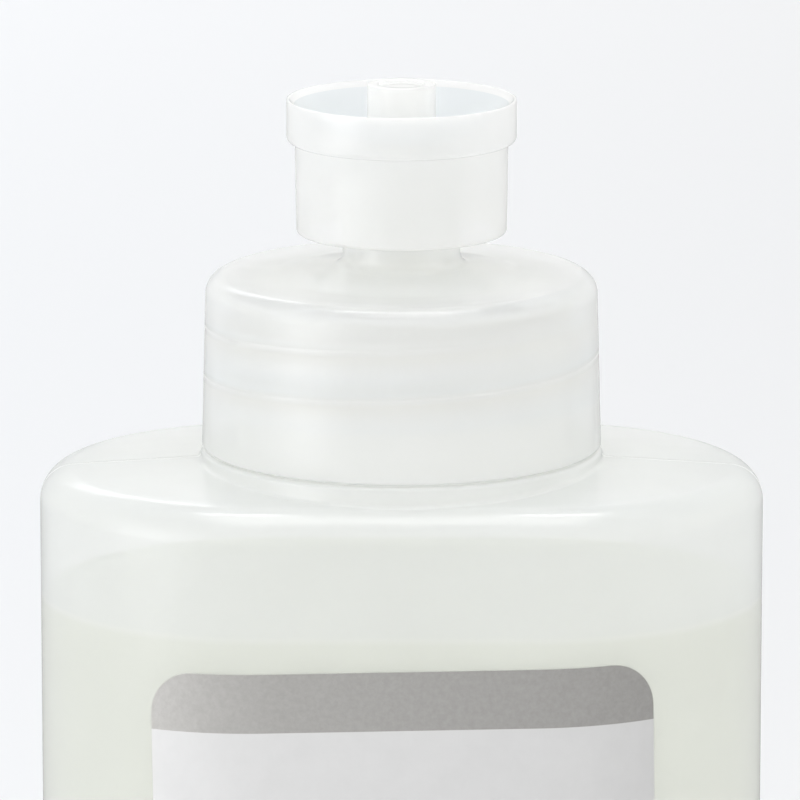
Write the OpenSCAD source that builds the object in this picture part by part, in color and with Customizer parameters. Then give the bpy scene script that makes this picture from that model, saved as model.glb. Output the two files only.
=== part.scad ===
// Squeeze bottle of dish soap with a screw cap and a push-pull top.
// Millimetres, +Z up. The origin is on the standing plane, under the neck axis.
// +X is across the broad side and -Y is the front, where the label is.

/* [Bottle body] */
// Width across the broad side
body_w = 80.5; // [72:0.5:110]
// Depth from front to back
body_d = 50.6; // [48:0.2:68]
// Height of the shoulder where the neck starts
shoulder_h = 158; // [120:1:220]
// Slope of the shoulder, in degrees
shoulder_fall = 3.6; // [1:0.1:6]
// Rounding between the shoulder and the side wall
shoulder_round = 3.9; // [2.5:0.1:6]
// Rounding at the foot of the side wall
base_round = 5; // [3:0.5:8]
// Depth of the recess in the underside
base_recess = 1.6; // [0.8:0.1:3]
// Thickness of the blown wall
wall = 0.9; // [0.7:0.05:1.4]

/* [Neck] */
// Outside diameter of the neck
neck_d = 37.6; // [34:0.2:40]
// Wall of the neck
neck_wall = 1.5; // [1.2:0.1:2]
// Height of the neck rim above the shoulder
neck_h = 18.85; // [16:0.05:24]
// Diameter of the bead at the root of the neck
bead_d = 44.6; // [42:0.2:46]
// Height of that bead above the shoulder
bead_h = 1.25; // [0.8:0.05:2]

/* [Screw thread] */
// Rise in one turn
thread_pitch = 5.5; // [4:0.25:7]
// Turns of thread on the neck
thread_turns = 1.65; // [1:0.05:1.7]
// Turns of thread in the cap
cap_thread_turns = 1.5; // [1:0.05:1.6]
// How far the ridge stands out of the neck
thread_depth = 1.3; // [0.8:0.1:1.5]
// Height of the ridge at its root
thread_root = 2.2; // [1.6:0.1:2.6]
// Height of the ridge at its crest
thread_crest = 0.8; // [0.5:0.1:1.4]

/* [Soap and label] */
// Height of the soap surface
soap_level = 143; // [40:0.2:150]
// Width of the label across the front
label_w = 54.8; // [40:0.2:62]
// Height of the label
label_h = 104; // [70:1:106]
// Distance from the shoulder down to the top of the label
label_drop = 18.5; // [12:0.1:30]
// Rounding of the corners of the label
label_corner = 5; // [2:0.5:10]
// Height of the coloured band along the top of the label
label_band = 6.6; // [4:0.1:20]
// How far the label was stuck on askew, in degrees
label_tilt = 1.1; // [-2:0.1:2]
// Thickness of the label film
label_t = 0.12; // [0.08:0.01:0.2]

/* [Screw cap] */
// Diameter at the lower edge of the cap
cap_d = 44.4; // [43:0.2:47]
// Diameter of the cap below its rounded top edge
cap_top_d = 43.5; // [42.5:0.1:45]
// Height of the cap without its stem
cap_h = 19.25; // [18:0.05:24]
// Gap between the bead and the lower edge of the cap
cap_clear = 0.25; // [0.15:0.05:0.6]
// Rounding of the top edge of the cap
cap_round = 2.2; // [1:0.1:3]
// Wall of the cap at its top
cap_wall = 1.2; // [1:0.05:1.4]
// Diameter of the low cone round the stem
cone_d = 27; // [22:0.5:34]
// Height of that cone
cone_h = 1; // [0.4:0.1:1.6]
// Rounding between the cone and the stem
stem_fillet = 1.4; // [0.6:0.1:2]
// Outside diameter of the stem
stem_d = 13; // [12:0.2:14]
// Wall of the stem
stem_wall = 1.3; // [1:0.1:1.6]
// Height of the stem above the flat of the cap
stem_h = 13.4; // [12.6:0.1:14]
// Number of spokes that carry the pin
spokes = 3; // [3:1:5]
// Diameter of the pin in the stem
pin_d = 3.8; // [3:0.1:4.2]

/* [Pull top] */
// Diameter of the finger flange
flange_d = 25.45; // [24:0.05:30]
// Height of the straight side of the flange
flange_h = 3.85; // [3:0.05:6]
// Diameter of the skirt just below the flange
skirt_d = 23.6; // [22.4:0.2:24]
// How much narrower the skirt is at its lower edge
skirt_taper = 0.3; // [0:0.05:0.8]
// Height from the lower edge of the skirt to the rim of the dish
pull_h = 15; // [14.6:0.1:18]
// Gap between the flat of the cap and the skirt when closed
pull_gap = 4.65; // [4:0.05:6]
// Wall of the skirt and the sleeve
pull_wall = 1; // [0.8:0.05:1.1]
// Depth of the dish in the top
dish_depth = 4.3; // [3:0.1:4.6]
// Diameter of the spout in the dish
spout_d = 7.6; // [7.4:0.1:9]
// How far the spout stands above the rim of the dish
spout_rise = 1.65; // [0.5:0.05:3]
// Diameter of the hole in the spout
orifice_d = 5.1; // [4.8:0.1:5.6]
// How far the top pulls up to open
pull_travel = 4.5; // [2:0.1:4.6]

/* [Hidden] */
$fn = 96;

// Running clearance between the sliding pieces
run_gap = 0.08;
// Gap between faces of different bodies that come close without a fit
rest_gap = 0.3;
// Overlap that joins two shapes of one moulding
weld = 0.4;
// Play between the flanks of the two threads
thread_play = 0.3;
// Play between the soap and the wall that holds it
soap_play = 0.02;

// Width of the level ring that the bottle stands on, and of the slope inside it
foot_ring = 2;
recess_slope = 2;
// Gap between the neck rim and the top end of the thread
thread_clear = 0.2;
// How far the seal reaches in over the bore of the neck
seal_reach = 0.7;
// Bead that stops the pull top, how far it stands out and how tall it is,
// and the taper that leads onto it from the end of the stem
stem_bead = 0.5;
stem_bead_h = 1;
stem_nose = 0.6;
// Pin: how far it stays below the spout, its sealing tip, and the taper below that tip
pin_below = 0.4;
tip_bevel = 0.3;
tip_h = 1;
tip_taper = 2.1;
// Spokes: thickness, height, and how far they lie above the flat of the cap
spoke_t = 1.2;
spoke_h = 2;
spoke_rise = 0.4;
// Pull top: bevels of the flange's lower edge, its rim and the foot of the skirt
flange_bevel = [0.35, 0.55];
rim_bevel = [0.2, 0.25];
foot_bevel = 0.4;
// Fall of the flange's underside towards the skirt
under_fall = 0.35;
// Width of the rim round the dish, and how far the wall of the dish reaches in
rim_w = 0.4;
dish_run = 6;
// How far the sleeve ends above the foot of the skirt, and the flare at its mouth
sleeve_rise = 0.6;
sleeve_flare = [0.5, 0.8];
catch_slope = 0.5;
// Wall of the spout, the length of its hole and the taper below the hole
spout_wall = 0.7;
orifice_h = 1.3;
orifice_taper = 0.6;

// The plan of the body is a straight line with a round end: half of the line
half_line = (body_w - body_d) / 2;
body_r = body_d / 2;
// The shoulder is level as far as the bead reaches past the straight line
level_r = bead_d / 2 - half_line;
fillet_r = body_r - shoulder_round;
fall_r = fillet_r + shoulder_round * sin(shoulder_fall);
fillet_z = shoulder_h - (fall_r - level_r) * tan(shoulder_fall) - shoulder_round * cos(shoulder_fall);
shoulder_drop = shoulder_h - fillet_z - shoulder_round;
foot_r = body_r - base_round;
recess_r = foot_r - foot_ring - recess_slope;

rim_z = shoulder_h + neck_h;
neck_bore_r = neck_d / 2 - neck_wall;
bead_top = shoulder_h + bead_h;

// The top end of the neck thread stands clear of the rim
thread_start = 135;
thread_z = rim_z - thread_clear - thread_root / 2 - thread_turns * thread_pitch;
// The cap's ridge lies under the neck's ridge and bears up against it
cap_thread_z = thread_z - thread_root - thread_play;

cap_z = bead_top + cap_clear;
cap_top = cap_z + cap_h;
cap_ceiling = cap_top - cap_wall;
cap_bore_r = cap_top_d / 2 - cap_wall;
stem_top = cap_top + stem_h;
stem_r = stem_d / 2;
stem_bore_r = stem_r - stem_wall;
cone_r = cone_d / 2;

skirt_z = cap_top + pull_gap;
dish_z = skirt_z + pull_h;
spout_top = dish_z + spout_rise;
sleeve_bore_r = stem_r + stem_bead + run_gap;
sleeve_r = sleeve_bore_r + pull_wall;
// The catch on the sleeve meets the bead on the stem at the end of the travel
bead_z = stem_top - stem_nose - stem_bead_h;
catch_top = bead_z - pull_travel - 0.1;
crown_z = stem_top + rest_gap;

// Points of an arc about a centre, from one angle to another
function arc(centre, r, from, to, steps = 8) =
    [for (i = [0:steps]) let (a = from + (to - from) * i / steps) centre + r * [cos(a), sin(a)]];

// Section of the body from its middle to the side wall, drawn in by a distance
function body_section(inset) = concat(
    [[0, base_recess + inset], [recess_r, base_recess + inset], [recess_r + recess_slope, inset]],
    arc([foot_r, base_round], base_round - inset, -90, 0),
    arc([fillet_r, fillet_z], shoulder_round - inset, 0, 90 - shoulder_fall),
    [[level_r, shoulder_h - inset], [0, shoulder_h - inset]]
);

// The whole body as one solid, drawn in by a distance
module body_form(inset) {
    half = body_section(inset);
    for (side = [-1, 1])
        translate([side * half_line, 0, 0])
            rotate([0, 0, side == 1 ? -90 : 90])
                rotate_extrude(angle = 180) polygon(half);
    translate([-half_line, 0, 0])
        rotate([90, 0, 90])
            linear_extrude(2 * half_line) {
                polygon(half);
                mirror([1, 0]) polygon(half);
            }
}

// Outline of the body in plan, grown by a distance
module body_plan(grow) {
    for (side = [-1, 1])
        translate([side * half_line, 0]) circle(body_r + grow);
    translate([-half_line, -body_r - grow]) square([2 * half_line, 2 * (body_r + grow)]);
}

// Right-hand thread ridge on a wall of radius r. depth is positive outwards and
// negative inwards, and the ridge runs out to nothing at both ends.
module thread_ridge(r, depth, from, z, turns) {
    steps = 36;
    count = round(steps * turns);
    run_out = 5;
    in = depth > 0 ? -weld : weld;
    rings = [
        for (i = [0:count])
            let (
                a = from + i * 360 / steps,
                rise = z + i * thread_pitch / steps,
                full = min(1, (i + 0.2) / run_out, (count - i + 0.2) / run_out),
                out = depth * full,
                section = [
                    [r + in, -thread_root / 2],
                    [r + in, thread_root / 2],
                    [r + out, thread_crest / 2],
                    [r + out, -thread_crest / 2]
                ]
            )
            [for (p = section) [p.x * cos(a), p.x * sin(a), rise + p.y]]
    ];
    points = [for (ring = rings) each ring];
    sides = [
        for (i = [0:count - 1], k = [0:3])
            let (a = 4 * i + k, b = 4 * i + (k + 1) % 4)
            each [[a, b, b + 4], [a, b + 4, a + 4]]
    ];
    ends = [[3, 2, 1, 0], [4 * count, 4 * count + 1, 4 * count + 2, 4 * count + 3]];
    faces = concat(sides, ends);
    polyhedron(points, depth > 0 ? [for (f = faces) [for (k = [len(f) - 1:-1:0]) f[k]]] : faces);
}

module tube(r, bore_r, h) {
    difference() {
        cylinder(r = r, h = h);
        translate([0, 0, -1]) cylinder(r = bore_r, h = h + 2);
    }
}

// Blown bottle, open at the neck
module bottle() {
    color("#e4eae4")
        difference() {
            union() {
                body_form(0);
                translate([0, 0, shoulder_h - wall]) cylinder(d = neck_d, h = neck_h + wall);
                translate([0, 0, shoulder_h - shoulder_drop - weld])
                    cylinder(d = bead_d, h = shoulder_drop + weld + bead_h);
                thread_ridge(neck_d / 2, thread_depth, thread_start, thread_z, thread_turns);
            }
            body_form(wall);
            translate([0, 0, shoulder_h - 2 * wall]) cylinder(r = neck_bore_r, h = neck_h + 3 * wall);
        }
}

// Soap that fills the bottle to its level
module soap() {
    color("#dfe6da")
        intersection() {
            body_form(wall + soap_play);
            translate([-body_w / 2, -body_d / 2, 0]) cube([body_w, body_d, soap_level]);
        }
}

// Rectangle with round corners, centred across and hanging down from the origin
module label_shape(w, h, r) {
    translate([-w / 2, -h + r]) square([w, h - 2 * r]);
    translate([-w / 2 + r, -h]) square([w - 2 * r, h]);
    for (x = [-w / 2 + r, w / 2 - r], y = [-r, -h + r]) translate([x, y]) circle(r);
}

// Part of the label film between two depths below its top edge
module label_part(from, to) {
    intersection() {
        linear_extrude(shoulder_h)
            difference() {
                body_plan(label_t);
                body_plan(0);
            }
        translate([0, 0, shoulder_h - label_drop])
            rotate([90, label_tilt, 0])
                linear_extrude(body_d)
                    intersection() {
                        label_shape(label_w, label_h, label_corner);
                        translate([-label_w, -to]) square([2 * label_w, to - from]);
                    }
    }
}

// Film label that wraps the front, with a band of colour along its top
module front_label() {
    color("#b4b0ac") label_part(0, label_band);
    color("#e6e5e3") label_part(label_band, label_h);
}

// Screw cap: skirt, rounded edge, cone and stem as one turned shell
module cap_shell() {
    rotate_extrude()
        polygon(concat(
            [[cap_bore_r, cap_z], [cap_d / 2, cap_z]],
            arc([cap_top_d / 2 - cap_round, cap_top - cap_round], cap_round, 0, 90),
            [[cone_r, cap_top]],
            arc([stem_r + stem_fillet, cap_top + cone_h + stem_fillet], stem_fillet, -100, -180, 5),
            [
                [stem_r, bead_z - stem_bead],
                [stem_r + stem_bead, bead_z],
                [stem_r + stem_bead, bead_z + stem_bead_h],
                [stem_r, stem_top],
                [stem_bore_r, stem_top],
                [stem_bore_r, cap_ceiling + cone_h],
                [cone_r - cap_wall, cap_ceiling],
                [cap_bore_r, cap_ceiling]
            ]
        ));
}

// Pin that closes the spout, on spokes across the foot of the stem
module cap_pin() {
    tip_r = orifice_d / 2 - run_gap;
    tip_top = spout_top - pin_below;
    tip_foot = tip_top - tip_bevel - tip_h;
    spoke_z = cap_top + spoke_rise;
    rotate_extrude()
        polygon([
            [0, spoke_z],
            [pin_d / 2, spoke_z],
            [pin_d / 2, tip_foot - tip_taper],
            [tip_r, tip_foot],
            [tip_r, tip_top - tip_bevel],
            [tip_r - tip_bevel, tip_top],
            [0, tip_top]
        ]);
    for (i = [0:spokes - 1])
        rotate([0, 0, 90 + i * 360 / spokes])
            translate([0, -spoke_t / 2, spoke_z]) cube([stem_bore_r + weld, spoke_t, spoke_h]);
}

module base_cap() {
    color("#eef0ec") {
        cap_shell();
        cap_pin();
        thread_ridge(cap_bore_r, -thread_depth, thread_start, cap_thread_z, cap_thread_turns);
    }
}

// Washer clamped between the neck rim and the ceiling of the cap
module seal_ring() {
    color("#dcdcd8")
        translate([0, 0, rim_z])
            tube(cap_bore_r - rest_gap, neck_bore_r - seal_reach, cap_ceiling - rim_z);
}

// Push-pull top: flange, skirt, dish, spout and inner sleeve as one turned shell
module pull_top() {
    flange_r = flange_d / 2;
    flange_z = dish_z - flange_h;
    skirt_r = skirt_d / 2;
    foot_edge = skirt_r - skirt_taper / 2;
    spout_r = spout_d / 2;
    spout_bore_r = spout_r - spout_wall;
    sleeve_foot = skirt_z + sleeve_rise;
    sleeve_mouth_r = stem_r + run_gap;
    floor_z = dish_z - dish_depth;
    rim_r = flange_r - rim_w;
    // The wall of the dish is a quarter of an ellipse, from its rim down to its floor
    dish_wall = [for (t = [0:15:90]) [rim_r - dish_run * (1 - cos(t)), dish_z - dish_depth * sin(t)]];
    color("#f2f2ef")
        rotate_extrude()
            polygon(concat(
                [
                    [foot_edge - pull_wall, skirt_z],
                    [foot_edge - foot_bevel, skirt_z],
                    [foot_edge, skirt_z + foot_bevel],
                    [skirt_r, flange_z - flange_bevel.y - under_fall],
                    [flange_r - flange_bevel.x, flange_z - flange_bevel.y],
                    [flange_r, flange_z],
                    [flange_r, dish_z - rim_bevel.y],
                    [flange_r - rim_bevel.x, dish_z]
                ],
                dish_wall,
                [
                    [spout_r, floor_z],
                    [spout_r, spout_top - rim_bevel.x],
                    [spout_r - rim_bevel.x, spout_top],
                    [orifice_d / 2, spout_top],
                    [orifice_d / 2, spout_top - orifice_h],
                    [spout_bore_r, spout_top - orifice_h - orifice_taper],
                    [spout_bore_r, crown_z],
                    [sleeve_bore_r, crown_z],
                    [sleeve_bore_r, catch_top],
                    [sleeve_mouth_r, catch_top - catch_slope],
                    [sleeve_mouth_r, sleeve_foot + sleeve_flare.y],
                    [sleeve_mouth_r + sleeve_flare.x, sleeve_foot],
                    [sleeve_r, sleeve_foot],
                    [sleeve_r, crown_z + weld],
                    [skirt_r - pull_wall, floor_z]
                ]
            ));
}

bottle();
soap();
front_label();
base_cap();
seal_ring();
pull_top();
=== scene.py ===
from math import asin, cos, degrees, pi, radians, sin, sqrt, tan

import bmesh
import bpy
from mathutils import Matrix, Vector


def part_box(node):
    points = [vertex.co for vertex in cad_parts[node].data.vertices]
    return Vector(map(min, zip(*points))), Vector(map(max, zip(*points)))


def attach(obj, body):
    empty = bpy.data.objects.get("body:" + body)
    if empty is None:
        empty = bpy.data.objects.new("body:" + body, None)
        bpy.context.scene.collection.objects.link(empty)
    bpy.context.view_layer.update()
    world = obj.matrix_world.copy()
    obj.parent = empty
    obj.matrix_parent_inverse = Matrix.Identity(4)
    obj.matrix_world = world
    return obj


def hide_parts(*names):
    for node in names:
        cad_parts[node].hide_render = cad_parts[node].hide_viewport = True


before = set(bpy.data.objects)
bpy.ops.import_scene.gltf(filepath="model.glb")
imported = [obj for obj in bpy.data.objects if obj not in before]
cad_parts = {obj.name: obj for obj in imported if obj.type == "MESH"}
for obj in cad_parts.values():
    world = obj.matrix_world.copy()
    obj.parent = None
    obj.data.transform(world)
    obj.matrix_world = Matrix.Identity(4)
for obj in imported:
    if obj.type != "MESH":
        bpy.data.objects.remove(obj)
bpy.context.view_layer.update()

MM = 0.001

# Sizes that the frame gives
BOTTLE_LOW, BOTTLE_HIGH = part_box("bottle")
CAP_LOW, CAP_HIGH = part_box("base_cap")
PULL_LOW, PULL_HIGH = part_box("pull_top")
SOAP_LOW, SOAP_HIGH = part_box("soap")
SEAL_LOW, SEAL_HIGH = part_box("seal_ring")
BODY_R = BOTTLE_HIGH.y
HALF_LINE = BOTTLE_HIGH.x - BODY_R
RIM_Z = BOTTLE_HIGH.z
LEVEL_Z = SOAP_HIGH.z
CAP_Z = CAP_LOW.z
CAP_R = CAP_HIGH.x
SKIRT_Z = PULL_LOW.z
SPOUT_Z = PULL_HIGH.z
FLANGE_R = PULL_HIGH.x
CEILING_Z = SEAL_HIGH.z

# Bottle
NECK_H = 18.85 * MM
SHOULDER_Z = RIM_Z - NECK_H
FALL = radians(3.6)
EDGE_R = 3.9 * MM
FOOT_R = 5 * MM
WALL = 0.9 * MM
RECESS = 1.6 * MM
RECESS_IN = 4 * MM
RECESS_SLOPE = 2 * MM
NECK_R = 18.8 * MM
NECK_WALL = 1.5 * MM
BEAD_R = 22.3 * MM
BEAD_H = 1.25 * MM
BEAD_FILLET = 0.45 * MM
LEVEL_R = BEAD_R - HALF_LINE
FILLET_D = BODY_R - EDGE_R
FALL_D = FILLET_D + EDGE_R * sin(FALL)
FILLET_Z = SHOULDER_Z - (FALL_D - LEVEL_R) * tan(FALL) - EDGE_R * cos(FALL)

# Thread
PITCH = 5.5 * MM
THREAD_START = radians(135)
NECK_TURNS = 1.65
CAP_TURNS = 1.5
THREAD_OUT = 1.3 * MM
THREAD_ROOT = 2.2 * MM
THREAD_PLAY = 0.3 * MM
THREAD_CLEAR = 0.2 * MM
THREAD_STEPS = 96
NECK_THREAD_Z = RIM_Z - THREAD_ROOT / 2 - THREAD_CLEAR - NECK_TURNS * PITCH
CAP_THREAD_Z = NECK_THREAD_Z - THREAD_ROOT - THREAD_PLAY

# Cap
CAP_TOP_R = 21.75 * MM
CAP_WALL = 1.2 * MM
CAP_TOP = CEILING_Z + CAP_WALL
CAP_BORE_R = CAP_TOP_R - CAP_WALL
CAP_EDGE = 2.2 * MM
CONE_R = 13.5 * MM
CONE_H = 1 * MM
STEM_FILLET = 1.4 * MM
STEM_R = 6.5 * MM
STEM_WALL = 1.3 * MM
STEM_H = 13.4 * MM
STEM_BEAD = 0.5 * MM
STEM_BEAD_H = 1 * MM
STEM_NOSE = 0.6 * MM
STEM_TOP = CAP_TOP + STEM_H
PIN_R = 1.9 * MM
PIN_BELOW = 0.4 * MM
TIP_BEVEL = 0.3 * MM
TIP_H = 1 * MM
TIP_TAPER = 2.1 * MM
SPOKES = 3
SPOKE_T = 1.2 * MM
SPOKE_H = 2 * MM
SPOKE_RISE = 0.4 * MM
SPOKE_SINK = 0.3 * MM

# Pull top
PULL_H = 15 * MM
DISH_Z = SKIRT_Z + PULL_H
DISH_DEPTH = 4.3 * MM
DISH_RIM = 0.15 * MM
FLANGE_H = 3.85 * MM
FLANGE_BEVEL = 1 * MM
SKIRT_R = 11.8 * MM
SKIRT_TAPER = 0.15 * MM
PULL_WALL = 1 * MM
SPOUT_R = 3.8 * MM
SPOUT_WALL = 0.7 * MM
SPOUT_FILLET = 0.8 * MM
ORIFICE_R = 2.55 * MM
ORIFICE_H = 1.3 * MM
ORIFICE_TAPER = 0.6 * MM
SLEEVE_RISE = 0.6 * MM
SLEEVE_FLARE = 0.5 * MM
SLEEVE_FLARE_H = 0.8 * MM
CATCH_SLOPE = 0.5 * MM
CATCH_GAP = 0.1 * MM
TRAVEL = 4.5 * MM
RUN_GAP = 0.08 * MM
REST_GAP = 0.3 * MM

# Label
LABEL_DROP = 18.5 * MM
LABEL_HALF = 27.4 * MM
LABEL_H = 104 * MM
LABEL_CORNER = 5 * MM
LABEL_BAND = 6.6 * MM
LABEL_TILT = radians(1.1)
LABEL_T = 0.1 * MM

# Painted light on the label: the shares of the field's and band's colour from its left edge to its right
# one, a painted sheen that is strongest at the left and falls off to the right
FIELD_PAINTED_LIGHT = (1.17, 1.09, 1.03, 1, 0.95, 0.87)
BAND_PAINTED_LIGHT = (1.5, 1.2, 1.05, 0.97, 0.88, 0.8)

# Mesh
LATHE_STEPS = 176
SHARP = radians(40)

# Studio light
AIR_STRENGTH = 1.09
AIR_FRONT = (1.12, 1.115, 1.095)
AIR_TOP = (0.60, 0.635, 0.69)
AIR_BACK_START = -0.2
AIR_BACK = (0.88, 0.88, 0.88)
TOP_GLOW = 3.0
STRIP_GLOW = 12.0
LEFT_GLOW = 1.9
SHEEN_GLOW = 3.2
BACK_GLOW = 2.8
LEFT_COLOUR = (0.97, 0.99, 1.02)
SHEEN_COLOUR = (0.99, 0.99, 1.0)
BACK_COLOUR = (0.98, 0.99, 1.01)
CARD_LOW = (0.55, 0.55, 0.54)
CARD_HIGH = (0.75, 0.75, 0.74)
# The floor's colour is painted light: lighter at the left, towards the left lamp, and darker and warmer at
# the right
FLOOR_LIT = (0.885, 0.885, 0.887)
FLOOR_SHADED = (0.846, 0.838, 0.828)
FLOOR_SPAN = 0.14
FLOOR_HALF = 6

# Share of the light that polished plastic mirrors, seen square on and edge on
GLOSS_LOW = 0.055
GLOSS_HIGH = 0.8

# How the soap's level shows in the wall, from LEVEL_FADE below it to LEVEL_FADE above
LEVEL_FADE = 4 * MM
WET_WALL = (0.935, 0.94, 0.9)
LEVEL_LINE = (1, 1, 1)
DRY_WALL = (0.95, 0.962, 0.975)
LEVEL_STOPS = [(0.0, WET_WALL), (0.42, WET_WALL), (0.5, LEVEL_LINE), (0.55, DRY_WALL), (1.0, DRY_WALL)]

# How the thread shows in the cap's wall, painted on its face: the line's height over the cap's own ridge,
# set to match the photo and level with the neck's thread, how far it stands out, and the colours from the
# line
# up to the next turn: a painted highlight at the line, painted shade just above it, then cool, plain and
# warm tones
LINE_RISE = 2.75 * MM
LINE_RELIEF = 1.2 * MM
THREAD_HIGHLIGHT = (1, 1, 1)
THREAD_SHADE = (0.91, 0.92, 0.92)
THREAD_COOL = (0.93, 0.96, 0.985)
THREAD_PLAIN = (0.972, 0.978, 0.978)
THREAD_WARM = (0.98, 0.972, 0.95)
THREAD_STOPS = [
    (0.0, THREAD_HIGHLIGHT), (0.05, THREAD_SHADE), (0.14, THREAD_COOL), (0.55, THREAD_PLAIN),
    (0.9, THREAD_WARM), (0.97, THREAD_HIGHLIGHT),
]

# Colours of the plastics: scattered at the face, passed on through the wall, and seen through it
BOTTLE_FACE = (0.97, 0.978, 0.986)
BOTTLE_GLOW = (0.985, 0.982, 0.97)
BOTTLE_TINT = (0.985, 0.985, 0.975)
MILK = (0.96, 0.985, 1)
NECK_FACE = (0.995, 0.99, 0.975)
PULL_FACE = (0.995, 0.988, 0.976)
# The dish's colour is painted shade: the pull top's own plastic, darker and cooler where the dish lies sunk
# below its rim
DISH_SHADED_FACE = (0.72, 0.765, 0.785)
CAP_FACE = (0.992, 0.996, 0.999)
CAP_GLOW = (0.999, 0.997, 0.992)
CAP_TINT = (0.997, 0.996, 0.992)

# Each plastic's share of light that passes on through, clear share square on and edge on, roughness
BOTTLE_MIX = (0.5, 0.45, 0.12, 0.16)
NECK_MIX = (0.45, 0.2, 0.1, 0.12)
RIDGE_MIX = (0.4, 0.2, 0.1, 0.07)
CAP_MIX = (0.42, 0.45, 0.2, 0.13)
PULL_MIX = (0.5, 0.4, 0.1, 0.18)
DISH_MIX = (0.3, 0.3, 0.1, 0.2)
SKIN_CLEAR = (0.87, 0.93)

# Soap, label film and foam
SOAP_DARK = (0.955, 0.965, 0.93)
SOAP_LIGHT = (0.965, 0.975, 0.94)
SOAP_CLEAR = 0.7
SOAP_ROUGH = 0.05
FIELD_DARK = (0.655, 0.65, 0.645)
FIELD_LIGHT = (0.675, 0.67, 0.665)
BAND_DARK = (0.345, 0.335, 0.32)
BAND_LIGHT = (0.385, 0.375, 0.36)
# Places across the label of the stops of its painted sheen
PAINTED_LIGHT_PLACES = (0, 0.13, 0.25, 0.5, 0.86, 1)
FOAM_DARK = (0.74, 0.74, 0.72)
FOAM_LIGHT = (0.84, 0.84, 0.82)


def mesh_piece(name, points, faces, body, materials, regions=()):
    """A mesh object of the part that rides on a body and takes its finish from a slot. The faces
    of the first region get the second material, and so on."""
    mesh = bpy.data.meshes.new(name)
    mesh.from_pydata([tuple(p) for p in points], [], faces)
    for k, region in enumerate(regions):
        for i in region:
            mesh.polygons[i].material_index = k + 1
    mesh.validate()
    piece = bpy.data.objects.new(name, mesh)
    bpy.context.collection.objects.link(piece)
    for material in materials:
        mesh.materials.append(material)
    tidy_normals(piece)
    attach(piece, body)
    return piece


def tidy_normals(piece):
    """Merges doubled points, turns all faces outwards and shades smooth across soft edges."""
    bm = bmesh.new()
    bm.from_mesh(piece.data)
    bmesh.ops.remove_doubles(bm, verts=bm.verts, dist=1e-6)
    bmesh.ops.dissolve_degenerate(bm, edges=bm.edges, dist=1e-7)
    bmesh.ops.recalc_face_normals(bm, faces=bm.faces)
    for face in bm.faces:
        face.smooth = True
    for edge in bm.edges:
        edge.smooth = edge.calc_face_angle(0) < SHARP
    bm.to_mesh(piece.data)
    bm.free()


def arc(centre, r, start, end, steps=10):
    """Points (r, z) of an arc about a centre, from one angle in degrees to another."""
    turn = [radians(start + (end - start) * i / steps) for i in range(steps + 1)]
    return [(centre[0] + r * cos(a), centre[1] + r * sin(a)) for a in turn]


def grid_faces(rows, columns, closed_rows=False, closed_columns=True, start=0):
    """Quads between the points of a grid that is stored row by row."""
    faces = []
    for i in range(rows if closed_rows else rows - 1):
        for j in range(columns if closed_columns else columns - 1):
            a, b = start + i * columns, start + (i + 1) % rows * columns
            k = (j + 1) % columns
            faces.append((a + j, a + k, b + k, b + j))
    return faces


def lathe(profile, steps=LATHE_STEPS, closed=True):
    """Points and faces of an (r, z) profile turned about the neck axis."""
    turn = [2 * pi * j / steps for j in range(steps)]
    points = [(r * cos(a), r * sin(a), z) for r, z in profile for a in turn]
    return points, grid_faces(len(profile), steps, closed_rows=closed)


def joined(*parts):
    """One list of points and one of faces from several."""
    points, faces = [], []
    for more, its_faces in parts:
        start = len(points)
        points += more
        faces += [tuple(start + i for i in face) for face in its_faces]
    return points, faces


def thread(wall_r, out, z, turns, steps=THREAD_STEPS):
    """A rounded right-hand ridge on a wall, standing out of it, or into it where out is below 0."""
    root = 0.25 * MM if out > 0 else -0.25 * MM
    count = round(steps * turns)
    run_out = steps // 7
    half = THREAD_ROOT / 2
    turn = [radians(-90 + 180 * i / 14) for i in range(15)]
    shape = [(-1, -half)] + [(cos(a), half * sin(a)) for a in turn] + [(-1, half)]
    points = []
    for i in range(count + 1):
        a = THREAD_START + 2 * pi * i / steps
        ease = min(1, i / run_out, (count - i) / run_out)
        full = ease * ease * (3 - 2 * ease)
        rise = z + i * PITCH / steps
        for share, up in shape:
            r = wall_r + (out * share * full if share > 0 else root * share)
            points.append((r * cos(a), r * sin(a), rise + up * (0.35 + 0.65 * full)))
    faces = grid_faces(count + 1, len(shape), closed_columns=True)
    faces.append(tuple(range(len(shape))))
    faces.append(tuple(range(count * len(shape), (count + 1) * len(shape))))
    return points, faces


# The plan of the body: a straight line with a round end at each side

def plan_rays(straight=28, round_end=64):
    """Start and direction of rays that leave the middle line square to the outline, all the way round."""
    rays = []
    for i in range(straight):
        rays.append((-HALF_LINE + 2 * HALF_LINE * i / straight, 0, -1))
    for i in range(round_end):
        a = -pi / 2 + pi * i / round_end
        rays.append((HALF_LINE, cos(a), sin(a)))
    for i in range(straight):
        rays.append((HALF_LINE - 2 * HALF_LINE * i / straight, 0, 1))
    for i in range(round_end):
        a = pi / 2 + pi * i / round_end
        rays.append((-HALF_LINE, cos(a), sin(a)))
    return rays


RAYS = plan_rays()


def reach(ray, r):
    """How far along a ray of the plan it crosses a circle of radius r about the neck axis."""
    x, dx, _ = ray
    return -x * dx + sqrt(max(0, (x * dx) ** 2 - x * x + r * r))


def ring(distance, z, least=None):
    """Points at a distance from the middle line; least is a circle that they don't go inside."""
    points = []
    for ray in RAYS:
        x, dx, dy = ray
        d = distance if least is None else max(distance, reach(ray, least))
        points.append((x + d * dx, d * dy, z(d) if callable(z) else z))
    return points


def neck_ring(r, z):
    """The same rays' crossings with a circle about the neck axis."""
    return [(x + reach((x, dx, dy), r) * dx, reach((x, dx, dy), r) * dy, z) for x, dx, dy in RAYS]


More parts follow.
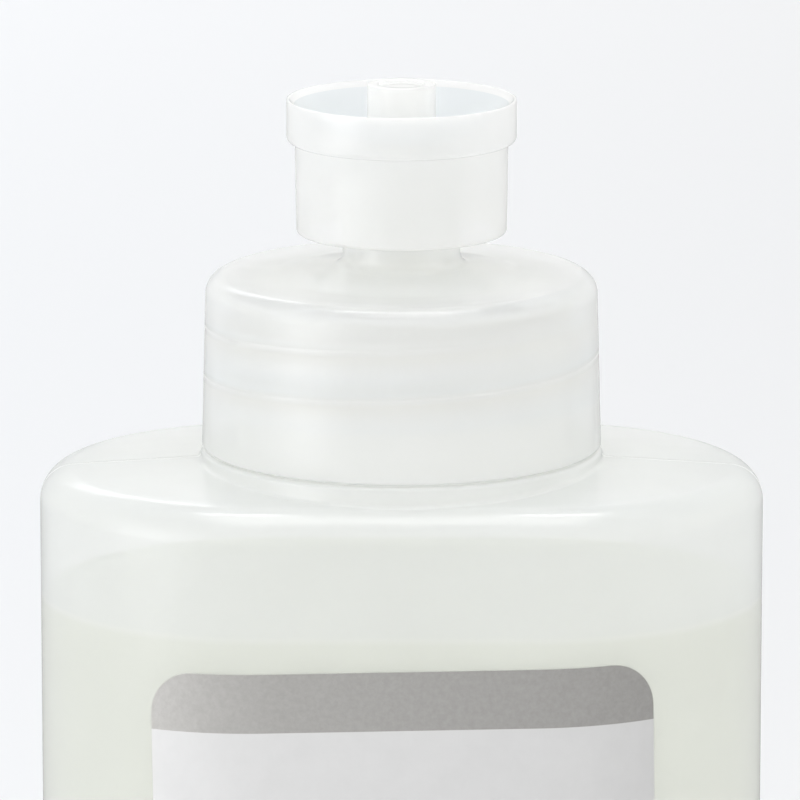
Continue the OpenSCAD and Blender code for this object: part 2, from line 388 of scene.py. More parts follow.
def shoulder_z(inset):
    """Height of the shoulder, as a function of the distance from the middle line."""
    def height(d):
        if d <= LEVEL_R:
            return SHOULDER_Z - inset
        if d <= FALL_D - inset * sin(FALL):
            return SHOULDER_Z - inset - (d - LEVEL_R) * tan(FALL)
        run = min(1, (d - FILLET_D) / (EDGE_R - inset))
        return FILLET_Z + (EDGE_R - inset) * sqrt(max(0, 1 - run * run))
    return height


def body_rings(inset, least):
    """Rings up the body, from the middle of its underside to a circle on its shoulder."""
    wall = BODY_R - inset
    foot_centre = BODY_R - FOOT_R
    rings = [ring(d, RECESS + inset) for d in (0, 0.5 * foot_centre)]
    recess_d = foot_centre - RECESS_IN
    rings.append(ring(recess_d - 0.4 * MM, RECESS + inset))
    for i in range(1, 8):
        t = i / 8
        ease = t * t * (3 - 2 * t)
        rings.append(ring(recess_d + RECESS_SLOPE * t, RECESS * (1 - ease) + inset))
    rings.append(ring(recess_d + RECESS_SLOPE, inset))
    rings += [ring(d, z) for d, z in arc((foot_centre, FOOT_R), FOOT_R - inset, -90, 0, 12)]
    for i in range(1, 40):
        rings.append(ring(wall, FOOT_R + (FILLET_Z - FOOT_R) * i / 40))
    height = shoulder_z(inset)
    for d, _ in arc((FILLET_D, FILLET_Z), EDGE_R - inset, 0, 90 - degrees(FALL), 16):
        rings.append(ring(d, height, least))
    for i in range(1, 12):
        rings.append(ring(FALL_D + (LEVEL_R - FALL_D) * i / 12, height, least))
    for d in (LEVEL_R, LEVEL_R * 0.7, LEVEL_R * 0.35, 0):
        rings.append(ring(d, height, least))
    return rings


def bead_foot():
    """Rings of the small fillet between the shoulder and the bead."""
    r = BEAD_R + BEAD_FILLET
    height = shoulder_z(0)
    rings = []
    for t in (22.5, 45, 67.5, 90):
        at = neck_ring(BEAD_R + BEAD_FILLET * (1 - sin(radians(t))), 0)
        up = BEAD_FILLET * (1 - cos(radians(t)))
        rings.append([(x, y, height(reach(ray, r)) + up) for (x, y, _), ray in zip(at, RAYS)])
    return rings


def bottle_mesh():
    """The blown shell, outside up to the neck rim, then down the bore and round the cavity; and
    which of its faces are inside, on the neck and on the thread."""
    outside = body_rings(0, BEAD_R + BEAD_FILLET) + bead_foot()
    bead_top = SHOULDER_Z + BEAD_H
    round_off = 0.45 * MM
    bead = arc((BEAD_R - round_off, bead_top - round_off), round_off, 0, 90, 6)
    foot = arc((NECK_R + 0.5 * MM, bead_top + 0.5 * MM), 0.5 * MM, -90, -180, 5)
    lip = arc((NECK_R - 0.4 * MM, RIM_Z - 0.4 * MM), 0.4 * MM, 0, 90, 5)
    bore_r = NECK_R - NECK_WALL
    inner_lip = arc((bore_r + 0.4 * MM, RIM_Z - 0.4 * MM), 0.4 * MM, 90, 180, 5)
    neck = [neck_ring(r, z) for r, z in bead + foot]
    neck += [neck_ring(NECK_R, bead_top + NECK_H * i / 6) for i in (1, 2, 3, 4, 5)]
    neck += [neck_ring(r, z) for r, z in lip + inner_lip]
    neck += [neck_ring(bore_r, RIM_Z - NECK_H * i / 5) for i in (1, 2, 3, 4)]
    inside = body_rings(WALL, bore_r)
    rows = outside + neck + inside[::-1]
    points = [p for row in rows for p in row]
    shell = points, grid_faces(len(rows), len(RAYS))
    last_inner = len(shell[1])
    points, faces = joined(shell, thread(NECK_R, THREAD_OUT, NECK_THREAD_Z, NECK_TURNS))
    neck_start = (len(outside) + len(bead)) * len(RAYS)
    bore_start = (len(outside) + len(bead + foot) + 5 + len(lip)) * len(RAYS)
    regions = [range(bore_start, last_inner), range(neck_start, bore_start), range(last_inner, len(faces))]
    return points, faces, regions


def soap_mesh():
    """The soap: up the wall, a small meniscus, and its level surface."""
    play = 0.03 * MM
    inset = WALL + play
    rise = 0.9 * MM
    body = [row for row in body_rings(inset, 0) if row[0][2] < LEVEL_Z - 1 * MM]
    wall = BODY_R - inset
    rows = body + [ring(wall, LEVEL_Z)]
    for i in range(1, 13):
        drop = i / 12
        rows.append(ring(wall - 3 * MM * drop * drop, LEVEL_Z - rise * (1 - (1 - drop) ** 2)))
    rows.append(ring(wall * 0.5, LEVEL_Z - rise))
    rows.append(ring(0, LEVEL_Z - rise))
    points = [p for row in rows for p in row]
    return points, grid_faces(len(rows), len(RAYS))


def front_point(along, z, out):
    """A point on the front of the body, at a distance along its outline from the middle."""
    r = BODY_R + out
    side = 1 if along >= 0 else -1
    past = abs(along) - HALF_LINE
    if past <= 0:
        return (along, -r, z)
    a = past / BODY_R
    return (side * (HALF_LINE + r * sin(a)), -r * cos(a), z)


def label_mesh(columns=120):
    """The label as a thin film, and which of its faces are in the band."""
    half = HALF_LINE + BODY_R * asin((LABEL_HALF - HALF_LINE) / BODY_R)
    corner = LABEL_CORNER
    inner = half - corner
    turn = [radians(90 * i / 14) for i in range(15)]
    ends = [inner + corner * sin(a) for a in turn]
    flat = [inner * (2 * i / columns - 1) for i in range(columns + 1)]
    across = [-u for u in reversed(ends[1:])] + flat + ends[1:]
    steps_band = 6
    steps_rest = 40
    top_z = SHOULDER_Z - LABEL_DROP
    grids = []
    for out in (LABEL_T, 0.01 * MM):
        rows = []
        for k in range(steps_band + steps_rest + 1):
            row = []
            for u in across:
                over = max(0, abs(u) - inner)
                cut = corner - sqrt(max(0, corner * corner - over * over))
                if k <= steps_band:
                    v = -cut - (LABEL_BAND - cut) * k / steps_band
                else:
                    low = LABEL_H - cut
                    v = -LABEL_BAND - (low - LABEL_BAND) * (k - steps_band) / steps_rest
                along = u * cos(LABEL_TILT) - v * sin(LABEL_TILT)
                z = top_z + u * sin(LABEL_TILT) + v * cos(LABEL_TILT)
                row.append(front_point(along, z, out))
            rows.append(row)
        grids.append(rows)
    rows = len(grids[0])
    width = len(across)
    points = [p for grid in grids for row in grid for p in row]
    back = rows * width
    faces = grid_faces(rows, width, closed_columns=False)
    band_faces = range(steps_band * (width - 1))
    faces += [tuple(reversed(f)) for f in grid_faces(rows, width, closed_columns=False, start=back)]
    edge = list(range(width)) + [i * width + width - 1 for i in range(1, rows)]
    edge += [(rows - 1) * width + j for j in range(width - 2, -1, -1)]
    edge += [i * width for i in range(rows - 2, 0, -1)]
    for a, b in zip(edge, edge[1:] + edge[:1]):
        faces.append((a, b, b + back, a + back))
    return points, faces, band_faces


def cap_mesh():
    """The screw cap: shell with its stem, the inner thread, and the pin on its spokes; and which of
    its faces are inside and on the pin."""
    bead_z = STEM_TOP - STEM_NOSE - STEM_BEAD_H
    bore = STEM_R - STEM_WALL
    edge = 0.35 * MM
    side_h = CAP_TOP - CAP_EDGE - CAP_Z
    profile = arc((CAP_BORE_R + edge, CAP_Z + edge), edge, 180, 270, 5)
    profile += arc((CAP_R - edge, CAP_Z + edge), edge, -90, 0, 5)
    profile += [(CAP_R - (CAP_R - CAP_TOP_R) * i / 5, CAP_Z + side_h * i / 5) for i in (1, 2, 3, 4)]
    profile += arc((CAP_TOP_R - CAP_EDGE, CAP_TOP - CAP_EDGE), CAP_EDGE, 0, 90, 14)
    profile += [(CAP_TOP_R - CAP_EDGE - 2 * MM, CAP_TOP), (CONE_R + 0.8 * MM, CAP_TOP)]
    profile += [(CONE_R, CAP_TOP + 0.05 * MM), (CONE_R - 0.8 * MM, CAP_TOP + 0.16 * MM)]
    profile += arc((STEM_R + STEM_FILLET, CAP_TOP + CONE_H + STEM_FILLET), STEM_FILLET, -100, -180, 10)
    profile += [
        (STEM_R, bead_z - STEM_BEAD),
        (STEM_R + STEM_BEAD * 0.8, bead_z - STEM_BEAD * 0.2),
        (STEM_R + STEM_BEAD, bead_z + 0.15 * MM),
        (STEM_R + STEM_BEAD, bead_z + STEM_BEAD_H - 0.15 * MM),
        (STEM_R + STEM_BEAD * 0.7, bead_z + STEM_BEAD_H + 0.1 * MM),
        (STEM_R, STEM_TOP - 0.1 * MM),
        (STEM_R - 0.2 * MM, STEM_TOP),
        (bore, STEM_TOP),
    ]
    first_inner = len(profile)
    profile += [
        (bore, CEILING_Z + CONE_H),
        (CONE_R - CAP_WALL, CEILING_Z),
        (CAP_BORE_R - 0.6 * MM, CEILING_Z),
    ]
    profile += arc((CAP_BORE_R - 0.25 * MM, CEILING_Z - 0.25 * MM), 0.25 * MM, 90, 0, 4)
    ridge = thread(CAP_BORE_R, -THREAD_OUT, CAP_THREAD_Z, CAP_TURNS)
    shell = lathe(profile)
    inner = range((first_inner - 1) * LATHE_STEPS, len(shell[1]))
    points, faces = joined(shell, ridge, pin_mesh(), *[spoke_mesh(i) for i in range(SPOKES)])
    pin = range(len(shell[1]) + len(ridge[1]), len(faces))
    return points, faces, [inner, pin]


def pin_mesh():
    """The pin that closes the spout."""
    low = CAP_TOP + SPOKE_RISE
    top = SPOUT_Z - PIN_BELOW
    tip = ORIFICE_R - RUN_GAP
    tip_z = top - TIP_BEVEL - TIP_H
    profile = [(0, low), (PIN_R, low), (PIN_R, tip_z - TIP_TAPER), (tip, tip_z)]
    profile += arc((tip - TIP_BEVEL, top - TIP_BEVEL), TIP_BEVEL, 0, 90, 5)
    profile += [(tip * 0.5, top), (0, top)]
    return lathe(profile, steps=72, closed=False)


def spoke_mesh(i):
    """One spoke from the pin to the wall of the stem, with rounded edges."""
    low = CAP_TOP + SPOKE_RISE
    half, tall = SPOKE_T / 2, SPOKE_H
    inner, outer = PIN_R * 0.5, STEM_R - STEM_WALL + SPOKE_SINK
    cut = 0.18 * MM
    outline = [
        (-half + cut, 0), (half - cut, 0), (half, cut), (half, tall - cut),
        (half - cut, tall), (-half + cut, tall), (-half, tall - cut), (-half, cut),
    ]
    a = pi / 2 + 2 * pi * i / SPOKES
    along, across = Vector((cos(a), sin(a), 0)), Vector((-sin(a), cos(a), 0))
    points = []
    for r in (inner, outer):
        for s, h in outline:
            points.append(tuple(along * r + across * s + Vector((0, 0, low + h))))
    n = len(outline)
    faces = grid_faces(2, n)
    faces += [tuple(range(n)), tuple(range(n, 2 * n))]
    return points, faces


def pull_mesh():
    """The pull top: skirt, flange, dish, spout, and the sleeve with its catch; and which of its
    faces are inside and in the dish."""
    foot = SKIRT_R - SKIRT_TAPER
    flange_z = DISH_Z - FLANGE_H
    floor_z = DISH_Z - DISH_DEPTH
    sleeve_bore = STEM_R + STEM_BEAD + RUN_GAP
    sleeve = sleeve_bore + PULL_WALL
    crown_z = STEM_TOP + REST_GAP
    catch_top = STEM_TOP - STEM_NOSE - STEM_BEAD_H - TRAVEL - CATCH_GAP
    catch_r = STEM_R + RUN_GAP
    bevel_z = flange_z - FLANGE_BEVEL
    spout_bore = SPOUT_R - SPOUT_WALL
    foot_edge, wall_edge, step_edge, mouth_edge = 0.25 * MM, 0.45 * MM, 0.12 * MM, 0.2 * MM
    lip = 0.18 * MM
    under = 0.75 * MM
    profile = arc((foot - PULL_WALL + foot_edge, SKIRT_Z + foot_edge), foot_edge, 180, 270, 4)
    profile += arc((foot - wall_edge, SKIRT_Z + wall_edge), wall_edge, -90, 0, 6)
    profile += [(foot + SKIRT_TAPER * i / 4, SKIRT_Z + (bevel_z - SKIRT_Z) * i / 4) for i in (1, 2, 3)]
    profile += arc((SKIRT_R + step_edge, bevel_z - step_edge), step_edge, 180, 90, 3)
    profile += arc((FLANGE_R - under, bevel_z + under), under, -90, 0, 8)
    profile += [(FLANGE_R, flange_z + 0.6 * MM), (FLANGE_R, DISH_Z - 1.5 * MM)]
    profile += arc((FLANGE_R - lip, DISH_Z - lip), lip, 0, 180, 8)
    dish_start = len(profile)
    profile += dish_profile(FLANGE_R - 2 * lip, floor_z)
    dish_end = len(profile) - 2
    profile += [(SPOUT_R, floor_z + SPOUT_FILLET), (SPOUT_R, SPOUT_Z - 0.6 * MM)]
    profile += arc((SPOUT_R - mouth_edge, SPOUT_Z - mouth_edge), mouth_edge, 0, 90, 4)
    profile += arc((ORIFICE_R + step_edge, SPOUT_Z - step_edge), step_edge, 90, 180, 3)
    first_inner = len(profile)
    profile += [
        (ORIFICE_R, SPOUT_Z - ORIFICE_H),
        (spout_bore, SPOUT_Z - ORIFICE_H - ORIFICE_TAPER),
        (spout_bore, crown_z),
        (sleeve_bore, crown_z),
        (sleeve_bore, catch_top),
        (catch_r, catch_top - CATCH_SLOPE),
        (catch_r, SKIRT_Z + SLEEVE_RISE + SLEEVE_FLARE_H),
        (catch_r + SLEEVE_FLARE, SKIRT_Z + SLEEVE_RISE),
        (sleeve, SKIRT_Z + SLEEVE_RISE),
        (sleeve, crown_z + 0.4 * MM),
        (SKIRT_R - PULL_WALL, floor_z),
    ]
    points, faces = lathe(profile)
    inner = range((first_inner - 1) * LATHE_STEPS, len(faces))
    return points, faces, [inner, range(dish_start * LATHE_STEPS, dish_end * LATHE_STEPS)]


def dish_profile(rim_r, floor_z):
    """The dish from just inside its rim down to the foot of the spout."""
    points = []
    for i in range(1, 17):
        t = i / 16
        r = rim_r + (SPOUT_R + 1.2 * MM - rim_r) * t
        drop = sin(t * pi / 2) ** 0.9
        points.append((r, DISH_Z - DISH_RIM + (floor_z - DISH_Z + DISH_RIM) * drop))
    return points + arc((SPOUT_R + SPOUT_FILLET, floor_z + SPOUT_FILLET), SPOUT_FILLET, -90, -180, 5)


# Materials

def shader(name):
    """A new node material: its tree, a function that adds nodes and one that joins them."""
    material = bpy.data.materials.new(name)
    material.use_nodes = True
    tree = material.node_tree
    tree.nodes.clear()

    def add(kind, **settings):
        node = tree.nodes.new(kind)
        for key, value in settings.items():
            if key in node.inputs:
                node.inputs[key].default_value = value
            else:
                setattr(node, key, value)
        return node

    def link(out, into):
        tree.links.new(out, into)

    return material, add, link


def plain_noise(add, link, scale, detail=3.0, rough=0.55):
    """Noise that sits still on the part."""
    where = add("ShaderNodeTexCoord")
    noise = add("ShaderNodeTexNoise", Scale=scale, Detail=detail, Roughness=rough)
    link(where.outputs["Object"], noise.inputs["Vector"])
    return noise.outputs["Fac"]


def position(add, link):
    """The x, y and z of a point of the part at rest."""
    where = add("ShaderNodeTexCoord")
    split = add("ShaderNodeSeparateXYZ")
    link(where.outputs["Object"], split.inputs["Vector"])
    return split.outputs


def span(add, link, value, start, end, first=0.0, last=1.0, kind="LINEAR"):
    """A number that goes from first to last while a value goes from start to end."""
    node = add("ShaderNodeMapRange", interpolation_type=kind)
    link(value, node.inputs["Value"])
    for name, number in (("From Min", start), ("From Max", end), ("To Min", first), ("To Max", last)):
        node.inputs[name].default_value = number
    return node.outputs["Result"]


def maths(add, link, operation, *values):
    """A sum of sockets and numbers."""
    node = add("ShaderNodeMath", operation=operation)
    for value, into in zip(values, node.inputs):
        if isinstance(value, (int, float)):
            into.default_value = value
        else:
            link(value, into)
    return node.outputs["Value"]


def times(add, link, colour, by):
    """One colour multiplied by another."""
    node = add("ShaderNodeMix", data_type="RGBA", blend_type="MULTIPLY")
    node.inputs["Factor"].default_value = 1
    link(colour, node.inputs["A"])
    link(by, node.inputs["B"])
    return node.outputs["Result"]


def mixed(add, link, share, first, second):
    """Two shaders, the second by its share, which is a socket or a number."""
    node = add("ShaderNodeMixShader")
    if isinstance(share, (int, float)):
        node.inputs["Fac"].default_value = share
    else:
        link(share, node.inputs["Fac"])
    link(first, node.inputs[1])
    link(second, node.inputs[2])
    return node.outputs["Shader"]


def surface(add, link, result):
    """Makes a shader the material's surface."""
    out = add("ShaderNodeOutputMaterial")
    link(result, out.inputs["Surface"])


def ramp(add, link, source, stops):
    """Colours along a value, as (place, colour) stops."""
    node = add("ShaderNodeValToRGB")
    bar = node.color_ramp
    while len(bar.elements) < len(stops):
        bar.elements.new(0.5)
    for element, (place, colour) in zip(bar.elements, stops):
        element.position = place
        element.color = (*colour, 1)
    link(source, node.inputs["Fac"])
    return node.outputs["Color"]


def fine_bump(add, link, height, strength, distance, under=None):
    """A bump node's normal, from a height, on top of another normal if one is given."""
    bump = add("ShaderNodeBump", Strength=strength, Distance=distance)
    link(height, bump.inputs["Height"])
    if under:
        link(under, bump.inputs["Normal"])
    return bump.outputs["Normal"]


def milky(name, face, glow, tint, mix, bottle=False, painted_thread=False):
    """Milky moulded plastic. face is its colour, glow the colour of the share of light that passes
    on through it, and tint what it does to the things behind it. mix has that share, how much of
    the things behind it shows where the wall is seen square on and edge on, and its roughness."""
    share, clear, edge, roughness = mix
    material, add, link = shader(name)
    mottle = plain_noise(add, link, 140.0, detail=1.0)
    darker = tuple(c * 0.985 for c in face)
    colour = ramp(add, link, mottle, [(0.3, darker), (0.7, face)])
    normal = fine_bump(add, link, mottle, 0.1, 0.0003)
    if bottle:
        normal = seam_bump(add, link, normal)
        colour = wetted(add, link, colour)
    # Painted highlight and painted shade of the neck's thread, seen through the cap's wall
    if painted_thread:
        colour, normal = paint_thread_light(add, link, colour, normal)
    skin = add("ShaderNodeBsdfPrincipled", Roughness=0.6)
    skin.inputs["Specular IOR Level"].default_value = 0
    link(colour, skin.inputs["Base Color"])
    link(normal, skin.inputs["Normal"])
    through = add("ShaderNodeBsdfTranslucent")
    through.inputs["Color"].default_value = (*glow, 1)
    plastic = mixed(add, link, share, skin.outputs["BSDF"], through.outputs["BSDF"])
    open_air = add("ShaderNodeBsdfTransparent")
    open_air.inputs["Color"].default_value = (*tint, 1)
    facing = add("ShaderNodeLayerWeight", Blend=0.35)
    clearness = span(add, link, facing.outputs["Facing"], 0, 1, clear, edge)
    wall = mixed(add, link, clearness, plastic, open_air.outputs["BSDF"])
    rough = span(add, link, mottle, 0, 1, roughness * 0.85, roughness * 1.15)
    surface(add, link, glossed(add, link, wall, rough, normal))
    return material


def glossed(add, link, under, roughness, normal=None):
    """A clear polished face over a shader: it mirrors more the more it is seen edge on. roughness
    is a socket or a number."""
    facing = add("ShaderNodeLayerWeight", Blend=0.5)
    power = maths(add, link, "POWER", facing.outputs["Facing"], 5)
    amount = span(add, link, power, 0, 1, GLOSS_LOW, GLOSS_HIGH)
    gloss = add("ShaderNodeBsdfGlossy")
    if isinstance(roughness, (int, float)):
        gloss.inputs["Roughness"].default_value = roughness
    else:
        link(roughness, gloss.inputs["Roughness"])
    if normal:
        link(normal, facing.inputs["Normal"])
        link(normal, gloss.inputs["Normal"])
    return mixed(add, link, amount, under, gloss.outputs["BSDF"])


def wetted(add, link, colour):
    """The wall takes on the soap's warmth where soap stands against it, with a pale line at the
    level, where the soap is drawn up along the wall."""
    height = span(add, link, position(add, link)["Z"], LEVEL_Z - LEVEL_FADE, LEVEL_Z + LEVEL_FADE)
    return times(add, link, colour, ramp(add, link, height, LEVEL_STOPS))


def paint_thread_light(add, link, colour, normal):
    """The thread as the cap's milky wall shows it, painted on the wall: a pale, faintly raised line up
    the helix that is a painted highlight, painted shade and cooler grey above it, and warmer below. It
    is part of the cap's finish, and turns with the cap."""
    at = position(add, link)
    angle = maths(add, link, "ARCTAN2", at["Y"], at["X"])
    start = THREAD_START / (2 * pi) - (CAP_THREAD_Z + LINE_RISE) / PITCH
    turned = maths(add, link, "MULTIPLY_ADD", angle, -1 / (2 * pi), start)
    climb = maths(add, link, "MULTIPLY_ADD", at["Z"], 1 / PITCH, turned)
    band = ramp(add, link, maths(add, link, "FRACT", climb), THREAD_STOPS)
    bottom = CAP_THREAD_Z + 0.15 * PITCH
    top = CAP_THREAD_Z + (CAP_TURNS + 0.5) * PITCH
    nothing, fully = (0, 0, 0), (1, 1, 1)
    stops = [(0.0, nothing), (0.12, fully), (0.85, fully), (1.0, nothing)]
    # The painted highlight and shade of the thread, faded out below and above its turns
    shown = add("ShaderNodeMix", data_type="RGBA")
    link(ramp(add, link, span(add, link, at["Z"], bottom, top), stops), shown.inputs["Factor"])
    shown.inputs["A"].default_value = (*THREAD_PLAIN, 1)
    link(band, shown.inputs["B"])
    line = shown.outputs["Result"]
    return times(add, link, colour, line), fine_bump(add, link, line, 1.0, LINE_RELIEF, normal)


def seam_bump(add, link, normal):
    """The fine parting line of the mould, in the plane between front and back."""
    away = maths(add, link, "ABSOLUTE", position(add, link)["Y"])
    height = span(add, link, away, 0, 0.00035, 1, 0, "SMOOTHSTEP")
    return fine_bump(add, link, height, 0.8, 0.0002, normal)


def inner_skin(name, tint, face):
    """The inner face of a milky wall: nearly clear, because most of the milk is on its outer face."""
    material, add, link = shader(name)
    streak = plain_noise(add, link, 90.0, detail=1.0)
    skin = add("ShaderNodeBsdfPrincipled", IOR=1.5, Roughness=0.25)
    skin.inputs["Base Color"].default_value = (*face, 1)
    open_air = add("ShaderNodeBsdfTransparent")
    open_air.inputs["Color"].default_value = (*tint, 1)
    share = span(add, link, streak, 0, 1, *SKIN_CLEAR)
    surface(add, link, mixed(add, link, share, skin.outputs["BSDF"], open_air.outputs["BSDF"]))
    return material


def liquid():
    """Clear, faintly green-yellow soap."""
    material, add, link = shader("soap_liquid")
    tint = ramp(add, link, plain_noise(add, link, 18.0), [(0.3, SOAP_DARK), (0.7, SOAP_LIGHT)])
    body = add("ShaderNodeBsdfPrincipled", IOR=1.4, Roughness=0.12)
    link(tint, body.inputs["Base Color"])
    open_air = add("ShaderNodeBsdfTransparent")
    link(tint, open_air.inputs["Color"])
    fluid = mixed(add, link, SOAP_CLEAR, body.outputs["BSDF"], open_air.outputs["BSDF"])
    surface(add, link, glossed(add, link, fluid, SOAP_ROUGH))
    return material


def film(name, light, dark, grain_size, grain_depth, roughness, painted_light):
    """Printed label film: a colour with the fine grain of its print, and a satin face. The last
    argument gives the shares of its colour across the label: a painted sheen, strongest at the left and
    falling off to the right."""
    material, add, link = shader(name)
    grain = plain_noise(add, link, grain_size, detail=4.0, rough=0.7)
    ink = ramp(add, link, grain, [(0.35, dark), (0.65, light)])
    # Painted sheen: the label's colour lightened at the left and darkened at the right, as light from the
    # left would fall
    across = span(add, link, position(add, link)["X"], -LABEL_HALF, LABEL_HALF)
    sheen = ramp(add, link, across, [(at, (s, s, s)) for at, s in zip(PAINTED_LIGHT_PLACES, painted_light)])
    body = add("ShaderNodeBsdfPrincipled", IOR=1.5, Roughness=roughness)
    link(times(add, link, ink, sheen), body.inputs["Base Color"])
    link(fine_bump(add, link, grain, grain_depth, 0.0001), body.inputs["Normal"])
    surface(add, link, body.outputs["BSDF"])
    return material


def foam():
    """Dull white foam of the seal."""
    material, add, link = shader("seal_foam")
    cells = plain_noise(add, link, 2500.0, detail=2.0)
    colour = ramp(add, link, cells, [(0.3, FOAM_DARK), (0.7, FOAM_LIGHT)])
    body = add("ShaderNodeBsdfPrincipled", Roughness=0.85)
    link(colour, body.inputs["Base Color"])
    link(fine_bump(add, link, cells, 0.5, 0.0001), body.inputs["Normal"])
    surface(add, link, body.outputs["BSDF"])
    return material


def pieces():
    """The part's pieces, each in place of its plain solid."""
    pull_plastic = milky("pull_plastic", PULL_FACE, CAP_GLOW, CAP_TINT, PULL_MIX)

    points, faces, regions = bottle_mesh()
    finishes = [
        milky("bottle_plastic", BOTTLE_FACE, BOTTLE_GLOW, BOTTLE_TINT, BOTTLE_MIX, bottle=True),
        inner_skin("bottle_inner", BOTTLE_TINT, BOTTLE_TINT),
        milky("neck_plastic", NECK_FACE, CAP_GLOW, BOTTLE_TINT, NECK_MIX),
        milky("neck_thread", NECK_FACE, CAP_GLOW, BOTTLE_TINT, RIDGE_MIX),
    ]
    piece = mesh_piece("bottle_shell", points, faces, "filled_bottle", finishes, regions)
    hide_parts("bottle")

    points, faces = soap_mesh()
    piece = mesh_piece("soap_fill", points, faces, "filled_bottle", [liquid()])
    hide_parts("soap")

    points, faces, band_faces = label_mesh()
    finishes = [
        film("label_field", FIELD_LIGHT, FIELD_DARK, 300.0, 0.05, 0.42, FIELD_PAINTED_LIGHT),
        film("label_band", BAND_LIGHT, BAND_DARK, 1500.0, 0.15, 0.36, BAND_PAINTED_LIGHT),
    ]
    piece = mesh_piece("label_front", points, faces, "filled_bottle", finishes, [band_faces])
    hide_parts("front_label")

    points, faces, regions = cap_mesh()
    finishes = [
        # The cap's finish carries the thread's painted highlight and painted shade
        milky("cap_plastic", CAP_FACE, CAP_GLOW, CAP_TINT, CAP_MIX, painted_thread=True),
        inner_skin("cap_inner", CAP_TINT, MILK),
        pull_plastic,
    ]
    piece = mesh_piece("screw_cap_shell", points, faces, "screw_cap", finishes, regions)
    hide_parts("base_cap")

    points, faces, regions = pull_mesh()
    finishes = [
        pull_plastic,
        inner_skin("pull_inner", CAP_TINT, MILK),
        # The dish gets painted shade: a darker, cooler copy of the pull top's plastic
        milky("dish_shaded_plastic", DISH_SHADED_FACE, CAP_GLOW, CAP_TINT, DISH_MIX),
    ]
    piece = mesh_piece("pull_top_shell", points, faces, "pull_spout", finishes, regions)
    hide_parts("pull_top")

    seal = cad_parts["seal_ring"]
    seal.data.materials.clear()
    seal.data.materials.append(foam())


def card(name, corners, material):
    """A flat card of the studio that the camera doesn't see."""
    mesh = bpy.data.meshes.new(name)
    mesh.from_pydata([tuple(c) for c in corners], [], [(0, 1, 2, 3)])
    mesh.materials.append(material)
    piece = bpy.data.objects.new(name, mesh)
    bpy.context.collection.objects.link(piece)
    piece.visible_camera = False
    return piece


def softbox(name, place, aim, size, strength, colour=(1, 1, 1), soft=0.5):
    """A glowing soft panel that faces a point. soft is the share of its half width and half height
    over which it fades out."""
    middle = Vector(place)
    ahead = (Vector(aim) - middle).normalized()
    side = ahead.cross(Vector((0, 0, 1)))
    side = side.normalized() if side.length > 0.01 else Vector((1, 0, 0))
    up = side.cross(ahead)
    half_w, half_h = size[0] / 2, size[1] / 2
    material, add, link = shader(name)
    where = add("ShaderNodeTexCoord")
    off = add("ShaderNodeVectorMath", operation="SUBTRACT")
    link(where.outputs["Object"], off.inputs[0])
    off.inputs[1].default_value = middle
    fades = []
    for axis, half in ((side, half_w), (up, half_h)):
        along = add("ShaderNodeVectorMath", operation="DOT_PRODUCT")
        link(off.outputs["Vector"], along.inputs[0])
        along.inputs[1].default_value = axis
        away = maths(add, link, "ABSOLUTE", along.outputs["Value"])
        fades.append(span(add, link, away, half * (1 - soft), half, 1, 0, "SMOOTHSTEP"))
    share = maths(add, link, "MULTIPLY", *fades)
    glow = add("ShaderNodeEmission", Strength=strength)
    glow.inputs["Color"].default_value = (*colour, 1)
    clear = add("ShaderNodeBsdfTransparent")
    surface(add, link, mixed(add, link, share, clear.outputs["BSDF"], glow.outputs["Emission"]))
    material.cycles.emission_sampling = "NONE"
    signs = [(-1, -1), (1, -1), (1, 1), (-1, 1)]
    panel = card(name, [middle + side * half_w * a + up * half_h * b for a, b in signs], material)
    panel.visible_shadow = False
    return panel


def studio():
    """Pale floor, even light all round, and soft lamps above, at the left and behind."""
    material, add, link = shader("floor_paper")
    # Painted light on the floor: lighter at the left, darker and warmer at the right
    across = span(add, link, position(add, link)["X"], -FLOOR_SPAN, FLOOR_SPAN)
    colour = ramp(add, link, across, [(0, FLOOR_LIT), (1, FLOOR_SHADED)])
    body = add("ShaderNodeBsdfPrincipled", Roughness=0.9)
    link(colour, body.inputs["Base Color"])
    surface(add, link, body.outputs["BSDF"])
    mesh = bpy.data.meshes.new("studio_floor")
    corners = [(x * FLOOR_HALF, y * FLOOR_HALF, 0) for x, y in ((-1, -1), (1, -1), (1, 1), (-1, 1))]
    mesh.from_pydata(corners, [], [(0, 1, 2, 3)])
    mesh.materials.append(material)
    floor = bpy.data.objects.new("studio_floor", mesh)
    bpy.context.collection.objects.link(floor)

    studio_air()
    side_card("card_left", -1)
    side_card("card_right", 1)

    body_middle = (0, 0, 0.14)
    softbox("softbox_top", (0.0, -0.1, 0.95), (0, -0.05, 0.16), (0.6, 0.66), TOP_GLOW, soft=0.35)
    softbox("softbox_left", (-0.57, -0.19, 0.32), body_middle, (0.35, 0.5), LEFT_GLOW, LEFT_COLOUR)
    softbox("softbox_back", (-0.35, 1.75, 1.15), (-0.1, 1.3, 0), (1.4, 0.7), BACK_GLOW, BACK_COLOUR)
    sheen = softbox("sheen_left", (-0.5, -0.3, 0.2), body_middle, (0.7, 0.6), SHEEN_GLOW, SHEEN_COLOUR, 1.0)
    strip = softbox("strip_top", (0.0, 0.2, 0.95), (0, 0.02, 0.16), (0.6, 0.08), STRIP_GLOW)
    sheen.visible_diffuse = False
    strip.visible_diffuse = False


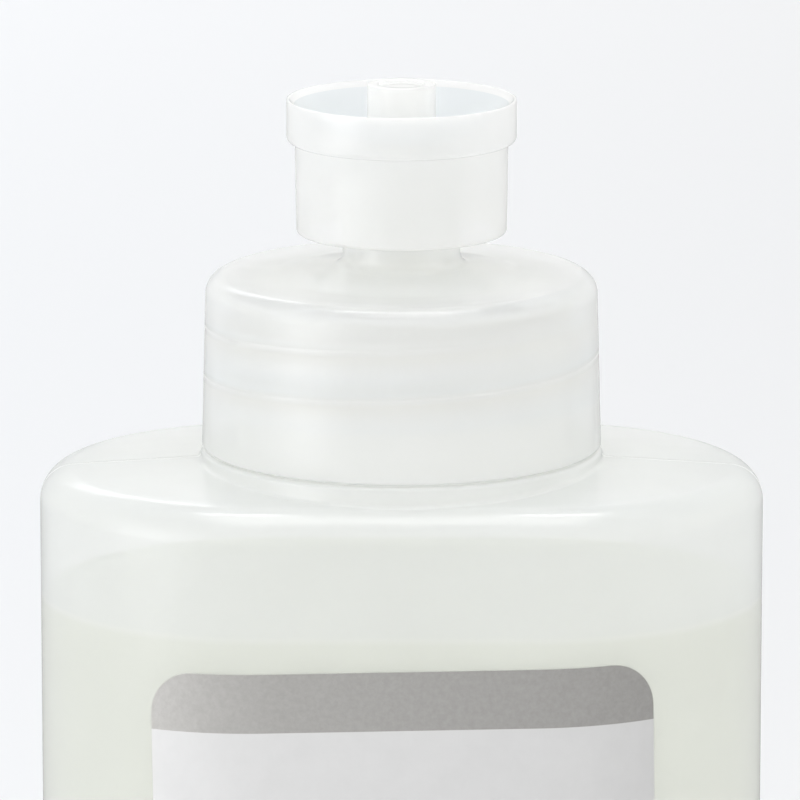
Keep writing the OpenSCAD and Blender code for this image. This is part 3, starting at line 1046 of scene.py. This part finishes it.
def studio_air():
    """Soft white light all round, cooler from above, warmer from the front, dim behind."""
    world = bpy.data.worlds.new("studio_air")
    bpy.context.scene.world = world
    world.use_nodes = True
    world.cycles.sampling_method = "NONE"
    nodes, links = world.node_tree.nodes, world.node_tree.links
    where = nodes.new("ShaderNodeTexCoord")
    split = nodes.new("ShaderNodeSeparateXYZ")
    links.new(where.outputs["Generated"], split.inputs["Vector"])
    height = sky_ramp(nodes, links, split.outputs["Z"], (0.3, AIR_FRONT), (0.95, AIR_TOP))
    depth = sky_ramp(nodes, links, split.outputs["Y"], (AIR_BACK_START, (1, 1, 1)), (0.9, AIR_BACK))
    mix = nodes.new("ShaderNodeMix")
    mix.data_type = "RGBA"
    mix.blend_type = "MULTIPLY"
    mix.inputs["Factor"].default_value = 1
    links.new(height, mix.inputs["A"])
    links.new(depth, mix.inputs["B"])
    links.new(mix.outputs["Result"], nodes["Background"].inputs["Color"])
    nodes["Background"].inputs["Strength"].default_value = AIR_STRENGTH


def sky_ramp(nodes, links, source, low, high):
    """Colours between two (place, colour) stops of a direction that runs from -1 to 1."""
    place = nodes.new("ShaderNodeMapRange")
    place.inputs["From Min"].default_value = -1
    links.new(source, place.inputs["Value"])
    colours = nodes.new("ShaderNodeValToRGB")
    for element, (where, colour) in zip(colours.color_ramp.elements, (low, high)):
        element.position = (where + 1) / 2
        element.color = (*colour, 1)
    links.new(place.outputs["Result"], colours.inputs["Fac"])
    return colours.outputs["Color"]


def side_card(name, side):
    """A dim card behind the object at one side, which only its gloss sees and which draws its
    edges; lighter where the cap and the pull top mirror it."""
    material, add, link = shader(name)
    height = span(add, link, position(add, link)["Z"], 0.075, 0.1)
    shade = add("ShaderNodeBsdfDiffuse")
    link(ramp(add, link, height, [(0, CARD_LOW), (1, CARD_HIGH)]), shade.inputs["Color"])
    surface(add, link, shade.outputs["BSDF"])
    near, far = side * 0.055, side * 0.28
    back = 0.35
    low, high = 0.004, 0.25
    corners = [(near, back, low), (far, back, low), (far, back, high), (near, back, high)]
    piece = card(name, corners, material)
    piece.visible_diffuse = False
    piece.visible_transmission = False
    piece.visible_shadow = False


def camera():
    """The photograph's view: about 12 degrees above the neck, from 0.9 m, through a long lens."""
    elevation = radians(12.07)
    distance = 0.909
    aim = Vector((-0.00017, 0, SHOULDER_Z + 6.35 * MM))
    data = bpy.data.cameras.new("camera")
    data.lens = 368
    data.sensor_width = 36
    data.clip_start, data.clip_end = 0.05, 50
    eye = bpy.data.objects.new("camera", data)
    eye.location = aim + distance * Vector((0, -cos(elevation), sin(elevation)))
    eye.rotation_euler = (aim - eye.location).to_track_quat("-Z", "Y").to_euler()
    bpy.context.collection.objects.link(eye)
    bpy.context.scene.camera = eye


def colour_setup():
    """Plain display colours, and enough layers of see-through plastic."""
    scene = bpy.context.scene
    scene.view_settings.view_transform = "Standard"
    scene.view_settings.look = "None"
    scene.cycles.transparent_max_bounces = 20
    scene.cycles.max_bounces = 14
    scene.cycles.diffuse_bounces = 10
    scene.cycles.glossy_bounces = 6


colour_setup()
camera()
studio()
pieces()
